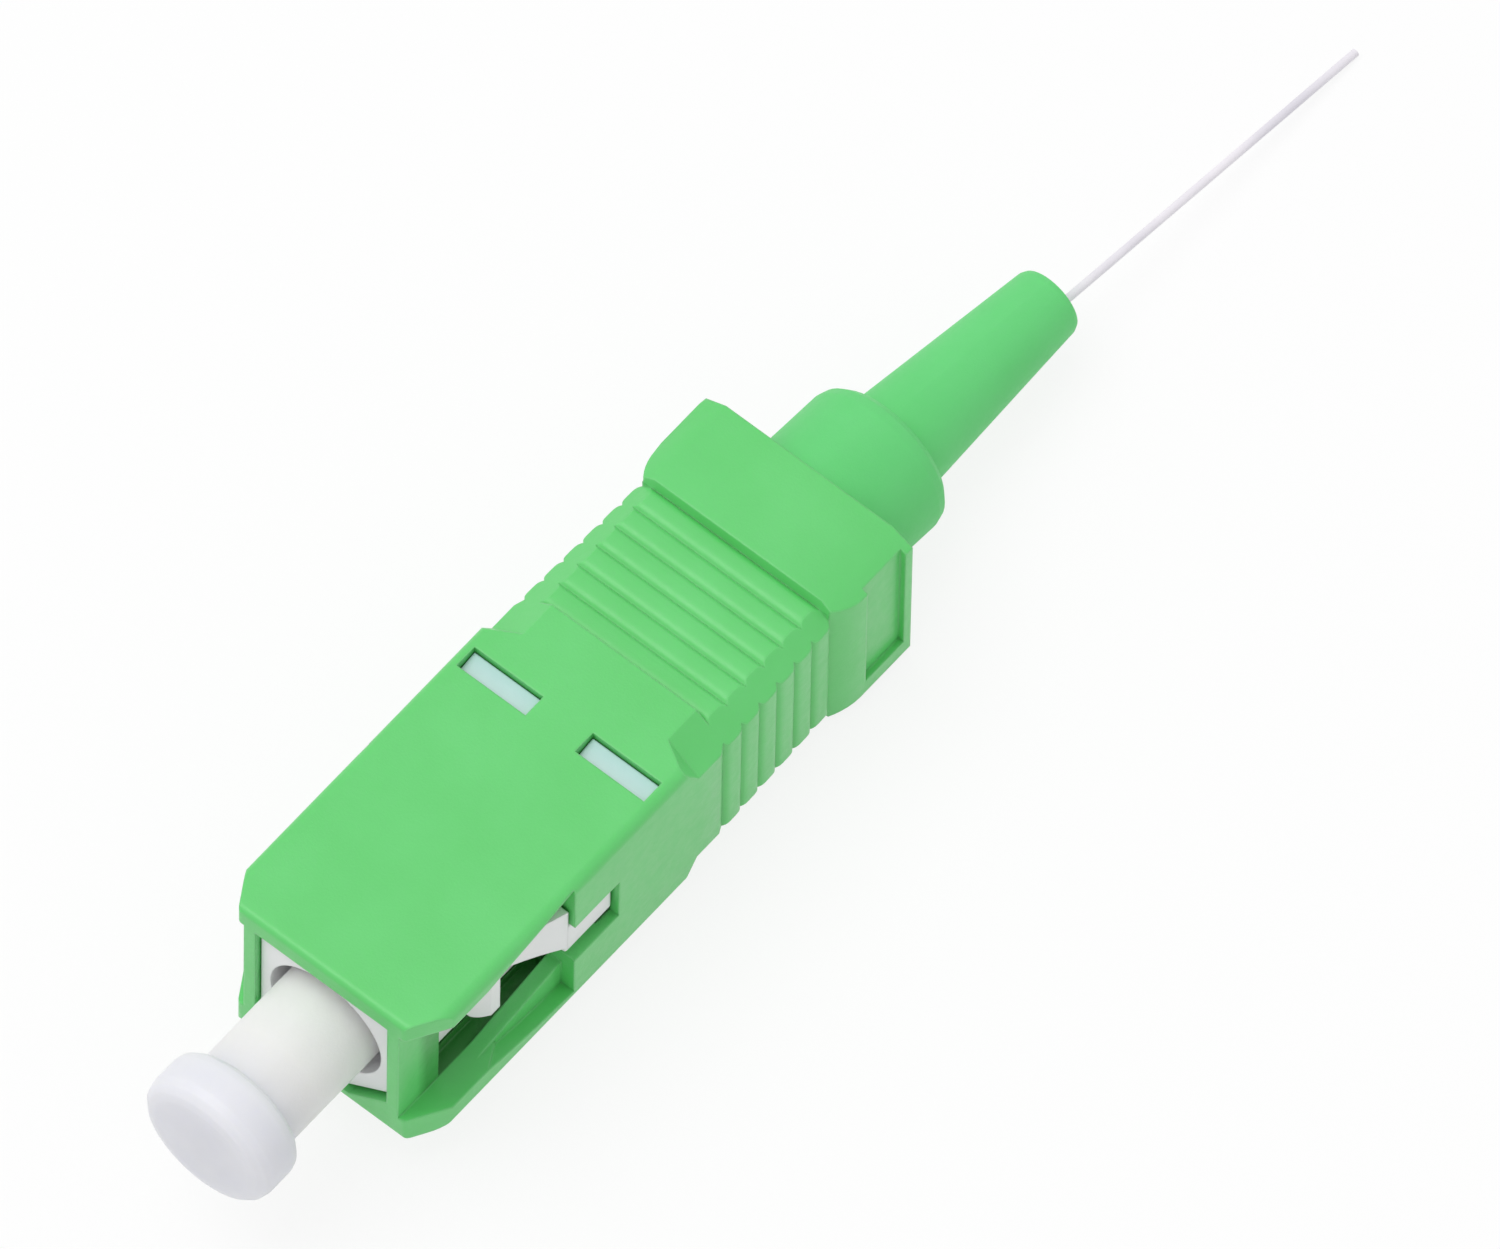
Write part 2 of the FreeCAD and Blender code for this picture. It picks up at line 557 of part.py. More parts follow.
# ---------------------------------------------------------------- stop ring
def make_stop_ring():
    parts = [rod(STOP_FRONT, FRAME_END + LAP, STOP_FRONT_DIA),
             rod(FRAME_END, FRAME_END + STOP_SHOULDER, STOP_SHOULDER_DIA),
             rod(FRAME_END, STOP_TAIL_START, STOP_BODY_DIA),
             rod(STOP_TAIL_START, STOP_TAIL_END, STOP_TAIL_DIA)]
    solid = fuse(parts)
    spring_room = STOP_FRONT_DIA - 2 * STOP_WALL
    cuts = [rod(STOP_FRONT - 1, STOP_SPRING_SEAT, spring_room),
            rod(STOP_SPRING_SEAT - LAP, STOP_TAIL_END + 1, STOP_BORE)]
    pitch = (STOP_TAIL_END - BOOT_START) / (TAIL_GROOVES + 1)
    for i in range(1, TAIL_GROOVES + 1):
        x = BOOT_START + i * pitch
        ring = rod(x - TAIL_GROOVE_WIDTH / 2, x + TAIL_GROOVE_WIDTH / 2, STOP_TAIL_DIA + 1)
        cuts.append(ring.cut(rod(x - 1, x + 1, STOP_TAIL_DIA - 2 * TAIL_GROOVE_DEPTH)))
    return solid.cut(cuts)


# ---------------------------------------------------------------- boot
def make_boot():
    collar, taper, tip = COLLAR_DIA / 2, TAPER_DIA / 2, TIP_DIA / 2
    outline = [(BOOT_START, 0), (BOOT_START, collar)]
    outline += rounding(COLLAR_END - COLLAR_ROUND, collar - COLLAR_ROUND, COLLAR_ROUND, 90, 0)
    outline += rounding(COLLAR_END + NECK_ROUND, taper + NECK_ROUND, NECK_ROUND, 180, 270, 2)
    outline += rounding(BOOT_END - TIP_ROUND, tip - TIP_ROUND, TIP_ROUND, 90, 0, 2)
    body = turned(outline + [(BOOT_END, 0)])
    # the part behind the bend leans under the fibre's weight; both parts meet in a mitre
    reach = COLLAR_DIA
    ahead = box(BOOT_START - 1, BOOT_BEND, -reach, reach, -reach, reach)
    lean(ahead, BOOT_LEAN / 2)
    behind = lean(body.copy(), BOOT_LEAN).cut(ahead)
    body = body.common(ahead).fuse(behind).removeSplitter()
    socket = rod(BOOT_START - 1, STOP_TAIL_END + END_GAP, STOP_TAIL_DIA + 2 * BORE_GAP)
    bore = lean(rod(STOP_TAIL_END, BOOT_END + 1, BOOT_BORE), BOOT_LEAN)
    return body.cut([socket, bore])


def lean(shape, degrees):
    """Turns the shape in place about the boot's bend."""
    roll = math.radians(BOOT_LEAN_ROLL)
    shape.rotate(V(BOOT_BEND, 0, 0), V(0, math.cos(roll), -math.sin(roll)), degrees)
    return shape


# ---------------------------------------------------------------- dust cap
def make_dust_cap():
    """Turned cap: rounded flange, neck with a fillet, blind bore that grips the ferrule."""
    flange, neck, bore = CAP_FLANGE_DIA / 2, CAP_NECK_DIA / 2, FERRULE_DIA / 2 + BORE_GAP
    flange_end = CAP_FRONT + CAP_FLANGE_LENGTH
    floor = CAP_FRONT + CAP_FLOOR
    outline = [(CAP_FRONT, 0)]
    outline += rounding(CAP_FRONT + CAP_ROUND, flange - CAP_ROUND, CAP_ROUND, 180, 90)
    outline += rounding(flange_end - CAP_REAR_ROUND, flange - CAP_REAR_ROUND, CAP_REAR_ROUND, 90, 0)
    outline += rounding(flange_end + CAP_NECK_FILLET, neck + CAP_NECK_FILLET, CAP_NECK_FILLET, 180, 270, 2)
    outline += [(CAP_REAR, neck), (CAP_REAR, bore + CAP_LEAD), (CAP_REAR - CAP_LEAD, bore), (floor, bore),
                (floor, 0)]
    return turned(outline)


# ---------------------------------------------------------------- fibre
def route_wire(points):
    """Straight runs joined by tangent arcs; the radius of each arc is printed."""
    edges = []
    at = points[0]
    for p, q, r in zip(points, points[1:], points[2:]):
        u = (p - q).normalize()
        w = (r - q).normalize()
        turn = math.pi - u.getAngle(w)
        cut = 0.45 * min((p - q).Length, (r - q).Length)
        if turn < 1e-6:
            continue
        radius = cut / math.tan(turn / 2)
        a, b = q + u * cut, q + w * cut
        middle = (u + w).normalize()
        m = q + middle * (radius / math.cos(turn / 2) - radius)
        edges.append(Part.LineSegment(at, a).toShape())
        edges.append(Part.Arc(a, m, b).toShape())
        print("fibre arc radius %.1f mm" % radius)
        at = b
    edges.append(Part.LineSegment(at, points[-1]).toShape())
    return Part.Wire(edges)


def make_fibre():
    wire = route_wire(FIBRE_ROUTE)
    start = wire.Edges[0].Vertexes[0].Point
    circle = Part.Circle(start, X_AXIS, FIBRE_DIA / 2)
    solid = wire.makePipeShell([Part.Wire(circle.toShape())], True, False)
    print("fibre volume %.4f, section times length %.4f"
          % (solid.Volume, math.pi * FIBRE_DIA ** 2 / 4 * wire.Length))
    return solid


NODES = {
    "grip": make_grip,
    "plug_frame": make_plug_frame,
    "ferrule": make_ferrule,
    "ferrule_holder": make_holder,
    "liner_tube": make_liner,
    "ferrule_spring": make_spring,
    "stop_ring": make_stop_ring,
    "boot": make_boot,
    "fibre": make_fibre,
    "dust_cap": make_dust_cap,
}

os.makedirs("parts", exist_ok=True)
for name, make in NODES.items():
    save(make(), name)
    print(name, "done")
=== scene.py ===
"""Looks of the SC/APC fibre connector plug: finishes, softer grip, fibre, floor, light and camera.

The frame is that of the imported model: the plug lies along X with its dust cap towards -X. Named lengths are
in millimetres, angles in degrees and colours in 8-bit display values, and Blender is given metres.
"""
import bmesh
import bpy
import math
from mathutils import Matrix, Vector


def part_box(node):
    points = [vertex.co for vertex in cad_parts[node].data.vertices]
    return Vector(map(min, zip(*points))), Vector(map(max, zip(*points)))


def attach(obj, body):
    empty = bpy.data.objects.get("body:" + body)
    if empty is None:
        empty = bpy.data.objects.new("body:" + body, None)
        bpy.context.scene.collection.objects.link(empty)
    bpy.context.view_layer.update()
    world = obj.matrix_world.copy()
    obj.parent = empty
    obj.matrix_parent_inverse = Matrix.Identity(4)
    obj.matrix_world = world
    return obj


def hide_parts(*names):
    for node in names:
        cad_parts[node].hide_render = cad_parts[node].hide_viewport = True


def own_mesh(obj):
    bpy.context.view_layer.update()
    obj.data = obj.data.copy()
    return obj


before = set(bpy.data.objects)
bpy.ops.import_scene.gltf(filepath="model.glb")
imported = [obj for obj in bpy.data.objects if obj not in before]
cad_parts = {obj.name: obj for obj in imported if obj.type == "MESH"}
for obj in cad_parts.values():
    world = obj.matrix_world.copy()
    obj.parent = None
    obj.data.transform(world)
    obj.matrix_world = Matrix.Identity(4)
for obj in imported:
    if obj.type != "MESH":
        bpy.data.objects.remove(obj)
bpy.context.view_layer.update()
MM = 0.001

# ---------------------------------------------------------------- camera
CAMERA_AIM = Vector((21.06, -1.04, -0.03))
CAMERA_AZIMUTH = -51.33
CAMERA_ELEVATION = 59.73
CAMERA_ROLL = 1.30
CAMERA_DISTANCE = 1700
CAMERA_LENS = 1220.7
CAMERA_SENSOR = 36

# ---------------------------------------------------------------- fibre
FIBRE_DIAMETER = 0.3      # thinnest that a cord may be; the solid has the real 0.25
FIBRE_POINTS = [(17.4, 0, 0), (26.2, 0, 0), (37.2, -0.79, -0.64), (44.6, -1.28, -1.13), (52.05, -1.8, -1.53)]

# ---------------------------------------------------------------- grip's ribs, waist and rear panel
RIB_COUNT = 6
RIB_START = 15.7
RIB_PITCH = 0.965
RIB_END = RIB_START + RIB_COUNT * RIB_PITCH
RIB_CREST = 3.395         # height of the crests on the broad faces
RIB_DEPTH = 0.26          # of the solid's grooves
RIB_SOFT_DEPTH = 0.15     # of the grooves seen
RIB_POWER = 1.8           # above 1 the crests grow broader and the grooves finer
RIB_SIDE_CREST = 4.475    # the same on the narrow sides, where the crests converge to the rear
RIB_SIDE_CONVERGE = 0.26
RIB_SIDE_DEPTH = 0.2
RIB_SIDE_SOFT_DEPTH = 0.17
RIB_SIDE_POWER = 2.2
BEVEL_WIDTH = 1.36        # of the waist's bevelled corners
BEVEL_HEIGHT = 1.1
BEVEL_SLOPE = BEVEL_WIDTH / BEVEL_HEIGHT
BEVEL_FROM = 3.135
BEVEL_FOOT = 2.595
WAIST_START = 14.2
WAIST_EASE = 0.8
PANEL_START = 23.0
PANEL_DEPTH = 0.24
TOLERANCE = 0.02          # how near a vertex lies to the surface that it belongs to
MERGE = 0.0005
SHARP_ANGLE = 32

# ---------------------------------------------------------------- grip's inner walls, where shade is painted
INSIDE_FROM = 3.4
INSIDE_FULL = 3.33
INSIDE_TOP = 2.95
INSIDE_TOP_FADE = 0.1
INSIDE_FRONT = 1.0
INSIDE_FRONT_FADE = 0.5

# ---------------------------------------------------------------- dust cap, with painted light on its barrel
CAP_FLANGE_END = -4.3
CAP_BARREL_CLEAR = -2.4

# ---------------------------------------------------------------- frame's rail in the rear window
LIP_FRONT = 7.6
LIP_REAR = 10.0
LIP_ROOT = 3.6
LIP_OUTER = 4.25
LIP_LOW = -0.6
LIP_TOP = 0.98
LIP_ROUND = 0.1

# ---------------------------------------------------------------- frame's bosses, seen in the grip's windows, with painted shade and green reflection
BOSS_SHADE_FROM = 2.9
BOSS_SHADE_TO = 3.4

# ---------------------------------------------------------------- rest on the floor
KEY_REAR = 10.2
FLOOR_HALF = 2000
FLOOR_GREY = 0.9
FLOOR_GLOW = 0.85         # share of the floor that looks white, where the rest keeps the shadow

# ---------------------------------------------------------------- light
WORLD_LEVEL = 0.68
PANEL_PLACE = (-100, 200, 600)
PANEL_AIM = (20, 0, 0)
PANEL_SIZE = 500
PANEL_POWER = 1.9         # watts

# ---------------------------------------------------------------- surfaces
NOISE_RANGE = (0.3, 0.7)  # where nearly all of a noise texture's values lie
COLOUR_DRIFT = 0.35       # cycles to the millimetre
GLOSS_DRIFT = 0.05
GRAIN_STRENGTH = 0.35
EDGE_SAMPLES = 6
SHADE_SAMPLES = 8
# painted highlights along edges
EDGE_TURN = (0.99, 0.75)  # cosines between which an edge goes from unseen to full
EDGE_REACH = 0.5
EDGE_OPEN = (0.75, 0.95)  # shares of open sky between which an edge goes from hemmed in to free
EDGE_SHARE = 0.5

# pairs of colours are those that a surface drifts between
GRIP_COLOURS = ((95, 203, 109), (100, 207, 115))
# painted highlight on the grip's edges
GRIP_EDGE_HIGHLIGHT_COLOUR = (158, 238, 168)
# painted shade in the grip's crevices
GRIP_CREVICE_SHADE_COLOUR = (58, 158, 70)
# painted shade on the grip's inner walls
GRIP_INSIDE_SHADE_COLOUR = (38, 122, 44)
BOOT_COLOURS = ((96, 206, 117), (101, 210, 122))
FRAME_COLOURS = ((234, 235, 236), (239, 240, 241))
# painted shade and green reflection on the frame's bosses
BOSS_SHADE_COLOUR = (178, 214, 212)
CAP_COLOURS = ((222, 223, 229), (228, 228, 233))
# painted light on the cap's barrel, where the white ferrule shows through
CAP_BARREL_LIGHT_COLOUR = (247, 244, 246)
NICKEL_COLOURS = ((190, 190, 186), (205, 204, 200))
SPRING_COLOURS = ((150, 150, 150), (170, 170, 170))
ZIRCONIA_COLOURS = ((240, 240, 236), (246, 246, 242))
LINER_COLOURS = ((235, 235, 235), (240, 240, 240))
FIBRE_COLOURS = ((220, 217, 226), (240, 236, 242))


def srgb(colour):
    """Linear colour from 8-bit display values."""
    return tuple(((c / 255 + 0.055) / 1.055) ** 2.4 if c > 10 else c / 3294.6 for c in colour) + (1.0,)


def new_object(name, data):
    piece = bpy.data.objects.new(name, data)
    bpy.context.scene.collection.objects.link(piece)
    return piece


def make_camera():
    """Long lens from the solved direction, turned by its roll about the line of sight."""
    azimuth, elevation = math.radians(CAMERA_AZIMUTH), math.radians(CAMERA_ELEVATION)
    level = math.cos(elevation)
    back = Vector((math.sin(azimuth) * level, -math.cos(azimuth) * level, math.sin(elevation)))
    right = Vector((0, 0, 1)).cross(back).normalized()
    up = back.cross(right)
    turn = Matrix((right, up, back)).transposed() @ Matrix.Rotation(math.radians(CAMERA_ROLL), 3, "Z")
    data = bpy.data.cameras.new("camera")
    data.sensor_width = CAMERA_SENSOR
    data.lens = CAMERA_LENS
    data.clip_start = 0.05
    data.clip_end = 20
    camera = new_object("camera", data)
    camera.matrix_world = Matrix.Translation((CAMERA_AIM + back * CAMERA_DISTANCE) * MM) @ turn.to_4x4()
    bpy.context.scene.camera = camera


def make_fibre(material):
    """Bare coated fibre out of the boot, one spline through the route."""
    data = bpy.data.curves.new("fibre_line", "CURVE")
    data.dimensions = "3D"
    data.bevel_depth = FIBRE_DIAMETER / 2 * MM
    data.bevel_resolution = 5
    data.resolution_u = 24
    data.use_fill_caps = True
    spline = data.splines.new("NURBS")
    spline.points.add(len(FIBRE_POINTS) - 1)
    for point, place in zip(spline.points, FIBRE_POINTS):
        point.co = (*(c * MM for c in place), 1)
    spline.order_u = 3
    spline.use_endpoint_u = True
    data.materials.append(material)
    piece = new_object("fibre_line", data)
    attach(piece, "plug")
    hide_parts("fibre")


def node_tree(name):
    """New material with its node tree and shader."""
    material = bpy.data.materials.new(name)
    material.use_nodes = True
    tree = material.node_tree
    shader = tree.nodes["Principled BSDF"]
    return material, tree, shader


def add(tree, kind, **inputs):
    """New node with these values on its sockets."""
    node = tree.nodes.new(kind)
    for key, value in inputs.items():
        node.inputs[key.replace("_", " ")].default_value = value
    return node


def noise(tree, scale, detail=3.0, rough=0.5):
    """Three-dimensional noise over the object's own place, scale in cycles to the millimetre."""
    place = tree.nodes.new("ShaderNodeTexCoord")
    texture = add(tree, "ShaderNodeTexNoise", Scale=scale / MM, Detail=detail, Roughness=rough)
    tree.links.new(place.outputs["Object"], texture.inputs["Vector"])
    return texture.outputs["Fac"]


def own_place(tree):
    """Sockets X, Y and Z of the object's own place, in metres."""
    place = tree.nodes.new("ShaderNodeTexCoord")
    split = tree.nodes.new("ShaderNodeSeparateXYZ")
    tree.links.new(place.outputs["Object"], split.inputs["Vector"])
    return split.outputs


def spread(tree, value, low, high, to_low=0.0, to_high=1.0):
    """Goes from one value to the other while the input goes from low to high, and stays there beyond."""
    node = tree.nodes.new("ShaderNodeMapRange")
    node.inputs["From Min"].default_value = low
    node.inputs["From Max"].default_value = high
    node.inputs["To Min"].default_value = to_low
    node.inputs["To Max"].default_value = to_high
    tree.links.new(value, node.inputs["Value"])
    return node.outputs["Result"]


def tinted(tree, factor, colours):
    """Drift between two colours with a noise."""
    ramp = tree.nodes.new("ShaderNodeValToRGB")
    for element, position, colour in zip(ramp.color_ramp.elements, NOISE_RANGE, colours):
        element.position = position
        element.color = srgb(colour)
    tree.links.new(factor, ramp.inputs["Fac"])
    return ramp.outputs["Color"]


def rounded_normal(tree, radius):
    """Normal as it would be with the edges rounded by a radius."""
    soft = add(tree, "ShaderNodeBevel", Radius=radius * MM)
    soft.samples = EDGE_SAMPLES
    return soft.outputs["Normal"]


def open_sky(tree, reach):
    """Share of the surroundings within the reach that nothing blocks."""
    hemmed = add(tree, "ShaderNodeAmbientOcclusion", Distance=reach * MM)
    hemmed.samples = SHADE_SAMPLES
    return hemmed.outputs["AO"]


def moulded(name, colours, rough, grain, depth, edge=0.0):
    """Moulded plastic: slow colour drift, fine grain, uneven gloss and edges rounded by a radius."""
    material, tree, shader = node_tree(name)
    tree.links.new(tinted(tree, noise(tree, COLOUR_DRIFT), colours), shader.inputs["Base Color"])
    gloss = spread(tree, noise(tree, grain / 3), *NOISE_RANGE, rough - GLOSS_DRIFT, rough + GLOSS_DRIFT)
    tree.links.new(gloss, shader.inputs["Roughness"])
    bump = add(tree, "ShaderNodeBump", Strength=GRAIN_STRENGTH, Distance=depth * MM)
    tree.links.new(noise(tree, grain, detail=4.0, rough=0.6), bump.inputs["Height"])
    if edge:
        tree.links.new(rounded_normal(tree, edge), bump.inputs["Normal"])
    tree.links.new(bump.outputs["Normal"], shader.inputs["Normal"])
    return material, shader


def recolour(shader, factor, colour):
    """Takes the shader's colour to another one with the factor."""
    tree = shader.id_data
    blend = tree.nodes.new("ShaderNodeMix")
    blend.data_type = "RGBA"
    tree.links.new(factor, blend.inputs[0])
    tree.links.new(shader.inputs["Base Color"].links[0].from_socket, blend.inputs[6])
    blend.inputs[7].default_value = srgb(colour)
    tree.links.new(blend.outputs[2], shader.inputs["Base Color"])


def maths(tree, operation, first, second=None):
    """Result of an operation on sockets or plain numbers."""
    node = tree.nodes.new("ShaderNodeMath")
    node.operation = operation
    for socket, value in zip(node.inputs, (first, second)):
        if isinstance(value, float):
            socket.default_value = value
        elif value is not None:
            tree.links.new(value, socket)
    return node.outputs["Value"]


def paint_crevice_shade(shader, colour, reach, closed, clear):
    """Painted shade in crevices: deeper colour, full at the closed share of open sky, none at the clear one.
    """
    tree = shader.id_data
    recolour(shader, spread(tree, open_sky(tree, reach), clear, closed), colour)


def paint_inside_shade(shader, colour):
    """Painted shade: deep colour on the walls round the plug frame, where little light comes."""
    tree = shader.id_data
    place = own_place(tree)
    deep = spread(tree, maths(tree, "ABSOLUTE", place["Y"]), INSIDE_FROM * MM, INSIDE_FULL * MM)
    height = maths(tree, "ABSOLUTE", place["Z"])
    low = spread(tree, height, INSIDE_TOP * MM, (INSIDE_TOP - INSIDE_TOP_FADE) * MM)
    back = spread(tree, place["X"], INSIDE_FRONT * MM, (INSIDE_FRONT + INSIDE_FRONT_FADE) * MM)
    recolour(shader, maths(tree, "MULTIPLY", maths(tree, "MULTIPLY", deep, low), back), colour)


def paint_edge_highlights(shader, colour, radius):
    """Painted highlight: paler lines along the edges, where moulded corners catch the light."""
    tree = shader.id_data
    flat = tree.nodes.new("ShaderNodeNewGeometry")
    dot = tree.nodes.new("ShaderNodeVectorMath")
    dot.operation = "DOT_PRODUCT"
    tree.links.new(rounded_normal(tree, radius), dot.inputs[0])
    tree.links.new(flat.outputs["Normal"], dot.inputs[1])
    edge = spread(tree, dot.outputs["Value"], *EDGE_TURN)
    proud = spread(tree, open_sky(tree, EDGE_REACH), *EDGE_OPEN)
    recolour(shader, maths(tree, "MULTIPLY", maths(tree, "MULTIPLY", edge, proud), EDGE_SHARE), colour)


def let_light_in(shader, weight, tint, reach):
    """Light scatters under the surface, by colour, within the reach."""
    shader.inputs["Subsurface Weight"].default_value = weight
    shader.inputs["Subsurface Radius"].default_value = tint
    shader.inputs["Subsurface Scale"].default_value = reach * MM


def make_green():
    material, shader = moulded("grip_green", GRIP_COLOURS, rough=0.34, grain=9.0, depth=0.02, edge=0.13)
    # painted highlight along the edges
    paint_edge_highlights(shader, GRIP_EDGE_HIGHLIGHT_COLOUR, radius=0.12)
    # painted shade in the crevices
    paint_crevice_shade(shader, GRIP_CREVICE_SHADE_COLOUR, reach=0.9, closed=0.05, clear=0.42)
    # painted shade on the inner walls round the plug frame
    paint_inside_shade(shader, GRIP_INSIDE_SHADE_COLOUR)
    let_light_in(shader, 0.15, (0.2, 1.0, 0.2), 0.5)
    return material


def make_boot_green():
    material, shader = moulded("boot_green", BOOT_COLOURS, rough=0.55, grain=14.0, depth=0.02, edge=0.1)
    let_light_in(shader, 0.2, (0.2, 1.0, 0.2), 0.6)
    return material


def make_white():
    """White of the plug frame, with painted shade and a painted reflection of the green round them on its
    bosses.
    """
    material, shader = moulded("frame_white", FRAME_COLOURS, rough=0.38, grain=9.0, depth=0.015, edge=0.08)
    tree = shader.id_data
    # painted shade and green reflection on the bosses near the top
    recolour(shader, spread(tree, own_place(tree)["Z"], BOSS_SHADE_FROM * MM, BOSS_SHADE_TO * MM), BOSS_SHADE_COLOUR)
    return material


def make_cap():
    """Frosted cap, with painted light on its barrel where the white ferrule shows through the wall."""
    material, shader = moulded("cap_frost", CAP_COLOURS, rough=0.45, grain=7.0, depth=0.02, edge=0.15)
    tree = shader.id_data
    # painted light: the barrel paler where the white ferrule shows through
    barrel = spread(tree, own_place(tree)["X"], CAP_FLANGE_END * MM, CAP_BARREL_CLEAR * MM)
    recolour(shader, barrel, CAP_BARREL_LIGHT_COLOUR)
    let_light_in(shader, 0.85, (1.0, 1.0, 1.1), 1.6)
    return material


def make_plain(name, colours, rough, metallic=0.0):
    material, shader = moulded(name, colours, rough, grain=12.0, depth=0.005)
    shader.inputs["Metallic"].default_value = metallic
    return material


def scallop(x, depth):
    """How far below the rib crests the surface lies at x, for ribs of this depth."""
    half = RIB_PITCH / 2
    radius = (half ** 2 + depth ** 2) / (2 * depth)
    off = (x - RIB_START) % RIB_PITCH - half
    return radius - math.sqrt(radius ** 2 - off ** 2)


def soften_ribs(point):
    """Ribs with low broad crests and fine grooves; their ends slide along the bevelled corners."""
    x, y, z = point
    if not RIB_START - TOLERANCE < x < RIB_END + TOLERANCE:
        return
    sunk = scallop(x, RIB_DEPTH)
    if abs(abs(z) - (RIB_CREST - sunk)) < TOLERANCE:
        rise = sunk - RIB_SOFT_DEPTH * (sunk / RIB_DEPTH) ** RIB_POWER
        point[2] += math.copysign(rise, z)
        if abs(y) > BEVEL_FROM - TOLERANCE:
            point[1] -= math.copysign(rise * BEVEL_SLOPE, y)
        return
    sunk = scallop(x, RIB_SIDE_DEPTH)
    crest = RIB_SIDE_CREST - RIB_SIDE_CONVERGE * (x - RIB_START) / (RIB_END - RIB_START)
    if abs(abs(y) - (crest - sunk)) < 2 * TOLERANCE:
        rise = sunk - RIB_SIDE_SOFT_DEPTH * (sunk / RIB_SIDE_DEPTH) ** RIB_SIDE_POWER
        point[1] += math.copysign(rise, y)
        if abs(z) > BEVEL_FOOT:
            point[2] -= math.copysign(rise / BEVEL_SLOPE, z)


def ease_waist(point):
    """The step from the rounded corners to the bevelled waist becomes a slope."""
    x, y, z = point
    proud = (abs(y) - BEVEL_FROM) / BEVEL_WIDTH + (abs(z) - BEVEL_FOOT) / BEVEL_HEIGHT - 1
    if abs(x - WAIST_START) < TOLERANCE and proud > TOLERANCE:
        point[0] -= WAIST_EASE * proud


def close_far_panel(point, half_width):
    """The sunk panel shows on one narrow side only: on the other its floor comes out flush."""
    x, y, _ = point
    if x > PANEL_START - TOLERANCE and abs(y - (half_width - PANEL_DEPTH)) < TOLERANCE / 2:
        point[1] = half_width - TOLERANCE / 2


def shape_grip(material):
    """The grip with the soft forms of its moulding, in place of the plain solid."""
    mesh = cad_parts["grip"].data.copy()
    mesh.name = "grip_moulding"
    half_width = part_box("grip")[1].y / MM
    for vertex in mesh.vertices:
        point = [c / MM for c in vertex.co]
        soften_ribs(point)
        ease_waist(point)
        close_far_panel(point, half_width)
        vertex.co = Vector(point) * MM
    work = bmesh.new()
    work.from_mesh(mesh)
    bmesh.ops.remove_doubles(work, verts=work.verts, dist=MERGE * MM)
    bmesh.ops.recalc_face_normals(work, faces=work.faces)
    work.to_mesh(mesh)
    work.free()
    if "custom_normal" in mesh.attributes:
        mesh.attributes.remove(mesh.attributes["custom_normal"])
    mesh.polygons.foreach_set("use_smooth", [True] * len(mesh.polygons))
    mesh.set_sharp_from_angle(angle=math.radians(SHARP_ANGLE))
    mesh.materials.clear()
    mesh.materials.append(material)
    piece = new_object("grip_moulding", mesh)
    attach(piece, "grip")
    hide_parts("grip")


def make_rail_lip(side, material):
    """Outer lip of the plug frame's rail, seen in the grip's rear window on one side."""
    work = bmesh.new()
    bmesh.ops.create_cube(work, size=1)
    for vertex in work.verts:
        x = LIP_FRONT if vertex.co.x < 0 else LIP_REAR
        y = LIP_ROOT if vertex.co.y < 0 else LIP_OUTER
        z = LIP_LOW if vertex.co.z < 0 else LIP_TOP
        vertex.co = Vector((x, side * y, z)) * MM
    if side < 0:
        bmesh.ops.reverse_faces(work, faces=work.faces)
    edges = work.edges[:]
    bmesh.ops.bevel(work, geom=edges, offset=LIP_ROUND * MM, segments=3, profile=0.5, affect="EDGES")
    mesh = bpy.data.meshes.new("rail_lip")
    work.to_mesh(mesh)
    work.free()
    mesh.materials.append(material)
    piece = new_object("rail_lip_left" if side > 0 else "rail_lip_right", mesh)
    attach(piece, "plug")


def make_spring(material):
    """The ferrule spring, a copy of the solid with its own finish, carried with the plug."""
    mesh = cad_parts["ferrule_spring"].data.copy()
    mesh.name = "coil_spring"
    mesh.materials.clear()
    mesh.materials.append(material)
    piece = new_object("coil_spring", mesh)
    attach(piece, "plug")
    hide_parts("ferrule_spring")
    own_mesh(piece)


def paint():
    """Finish of every node of the frame."""
    green = make_green()
    white = make_white()
    metal = make_plain("nickel", NICKEL_COLOURS, rough=0.3, metallic=1.0)
    shape_grip(green)
    make_spring(make_plain("spring_steel", SPRING_COLOURS, rough=0.35, metallic=1.0))
    for side in (-1, 1):
        make_rail_lip(side, white)
    finishes = {
        "plug_frame": white,
        "boot": make_boot_green(),
        "dust_cap": make_cap(),
        "ferrule": make_plain("zirconia", ZIRCONIA_COLOURS, rough=0.2),
        "ferrule_holder": metal,
        "stop_ring": metal,
        "liner_tube": make_plain("liner", LINER_COLOURS, rough=0.4),
    }
    for name, material in finishes.items():
        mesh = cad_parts[name].data
        mesh.materials.clear()
        mesh.materials.append(material)


def seen_rays(tree):
    """1 for what the camera, a reflection or a look through something sees."""
    path = tree.nodes.new("ShaderNodeLightPath")
    seen = path.outputs["Is Camera Ray"]
    for name in ("Is Glossy Ray", "Is Transmission Ray"):
        seen = maths(tree, "MAXIMUM", seen, path.outputs[name])
    return seen


def mix_shaders(tree, factor, first, second, output):
    """Sends to the output what goes from the first shader to the second with the factor."""
    mix = tree.nodes.new("ShaderNodeMixShader")
    tree.links.new(factor, mix.inputs["Fac"])
    tree.links.new(first.outputs[0], mix.inputs[1])
    tree.links.new(second.outputs[0], mix.inputs[2])
    tree.links.new(mix.outputs["Shader"], tree.nodes[output].inputs["Surface"])


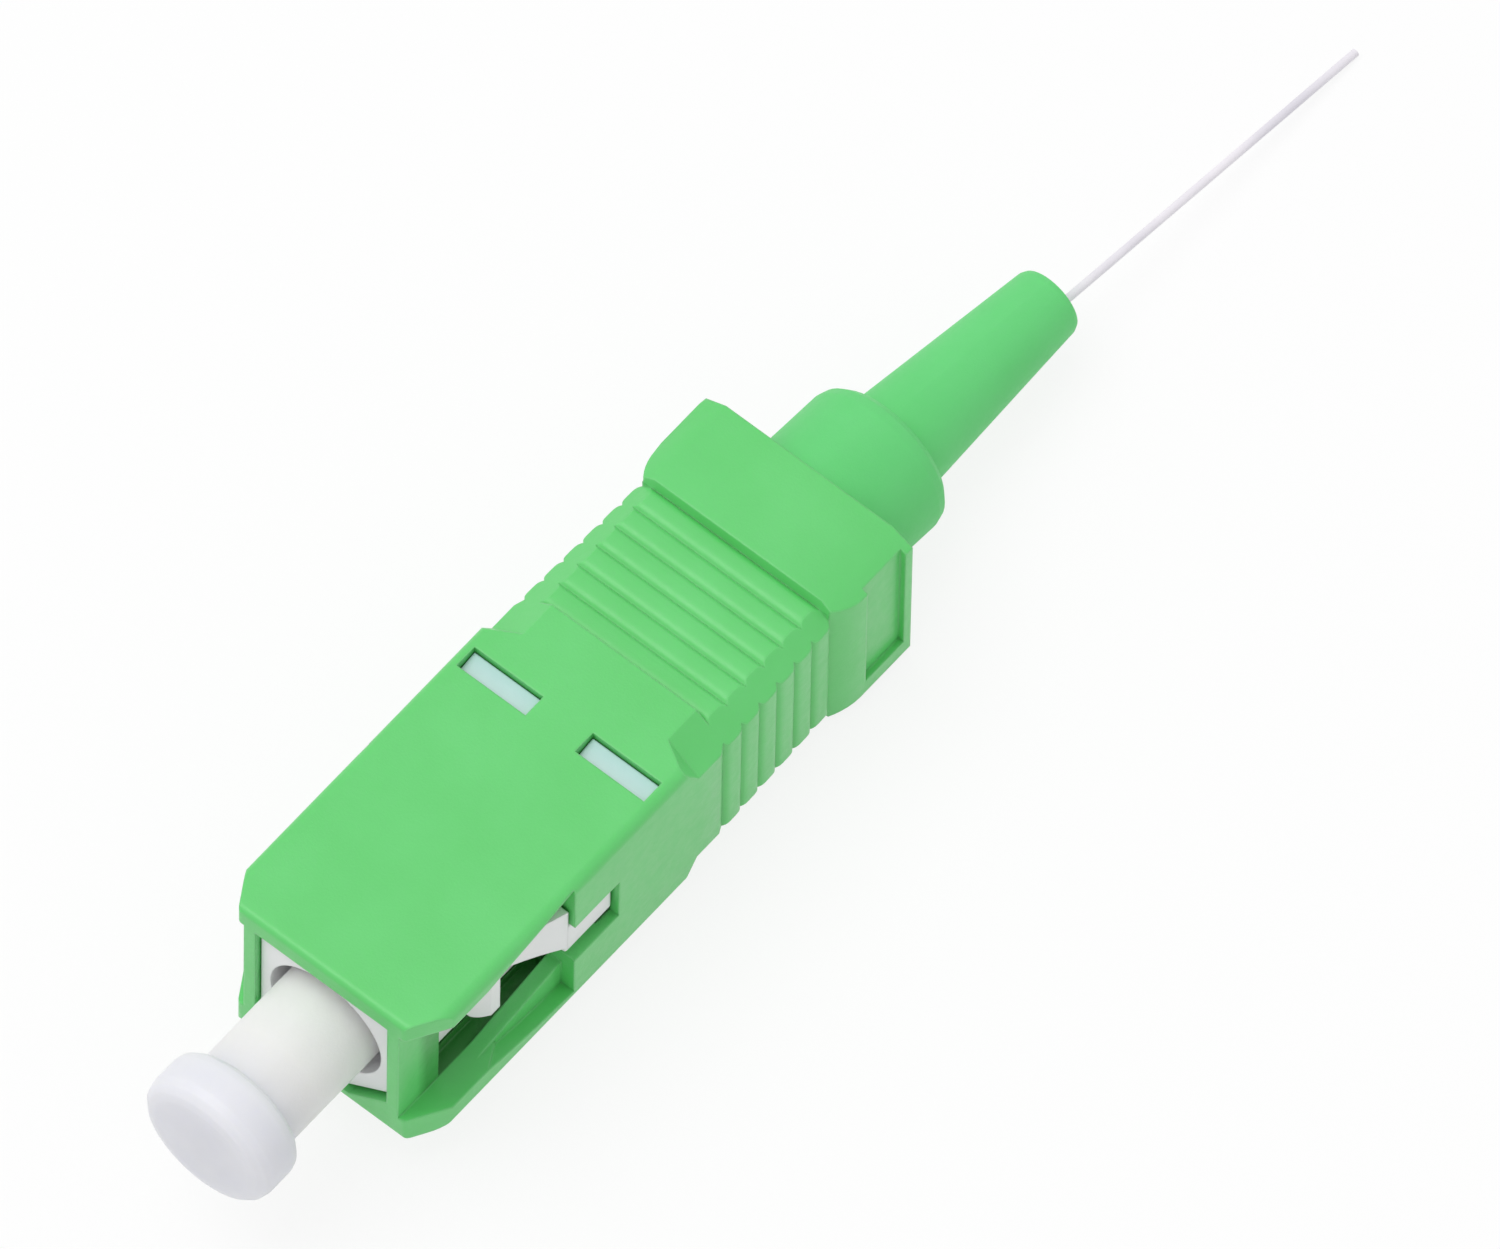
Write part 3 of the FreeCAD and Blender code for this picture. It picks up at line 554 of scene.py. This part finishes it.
def make_floor():
    """Pale floor under the plug as it really lies: on the rear end of its key and the grip's rear edge."""
    low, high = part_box("grip")
    slope = math.atan2(-low.z - high.z, high.x - KEY_REAR * MM)
    data = bpy.data.meshes.new("floor")
    half = FLOOR_HALF * MM
    corners = [(-half, -half, 0), (half, -half, 0), (half, half, 0), (-half, half, 0)]
    data.from_pydata(corners, [], [(0, 1, 2, 3)])
    floor = new_object("floor", data)
    floor.location = (KEY_REAR * MM, 0, low.z)
    floor.rotation_euler = (0, -slope, 0)
    material, tree, shader = node_tree("floor_white")
    shader.inputs["Base Color"].default_value = (FLOOR_GREY, FLOOR_GREY, FLOOR_GREY, 1)
    shader.inputs["Roughness"].default_value = 0.9
    glow = add(tree, "ShaderNodeEmission", Color=(1, 1, 1, 1), Strength=1.0)
    share = maths(tree, "MULTIPLY", seen_rays(tree), FLOOR_GLOW)
    mix_shaders(tree, share, shader, glow, "Material Output")
    data.materials.append(material)


def make_panel():
    """Large soft panel overhead, turned to the plug."""
    data = bpy.data.lights.new("panel", "AREA")
    data.size = PANEL_SIZE * MM
    data.energy = PANEL_POWER
    lamp = new_object("panel", data)
    lamp.location = Vector(PANEL_PLACE) * MM
    aim = Vector(PANEL_AIM) - Vector(PANEL_PLACE)
    lamp.rotation_euler = aim.to_track_quat("-Z", "Y").to_euler()


def make_studio():
    """World that looks white to the camera and lights the plug at a lower level, and one panel."""
    world = bpy.data.worlds.new("studio")
    bpy.context.scene.world = world
    world.use_nodes = True
    tree = world.node_tree
    light = tree.nodes["Background"]
    light.inputs["Color"].default_value = (1, 1, 1, 1)
    light.inputs["Strength"].default_value = WORLD_LEVEL
    seen = add(tree, "ShaderNodeBackground", Color=(1, 1, 1, 1), Strength=1.0)
    mix_shaders(tree, seen_rays(tree), light, seen, "World Output")
    make_panel()


make_camera()
make_fibre(make_plain("fibre_coating", FIBRE_COLOURS, rough=0.35))
paint()
make_floor()
make_studio()
bpy.context.scene.view_settings.view_transform = "Standard"
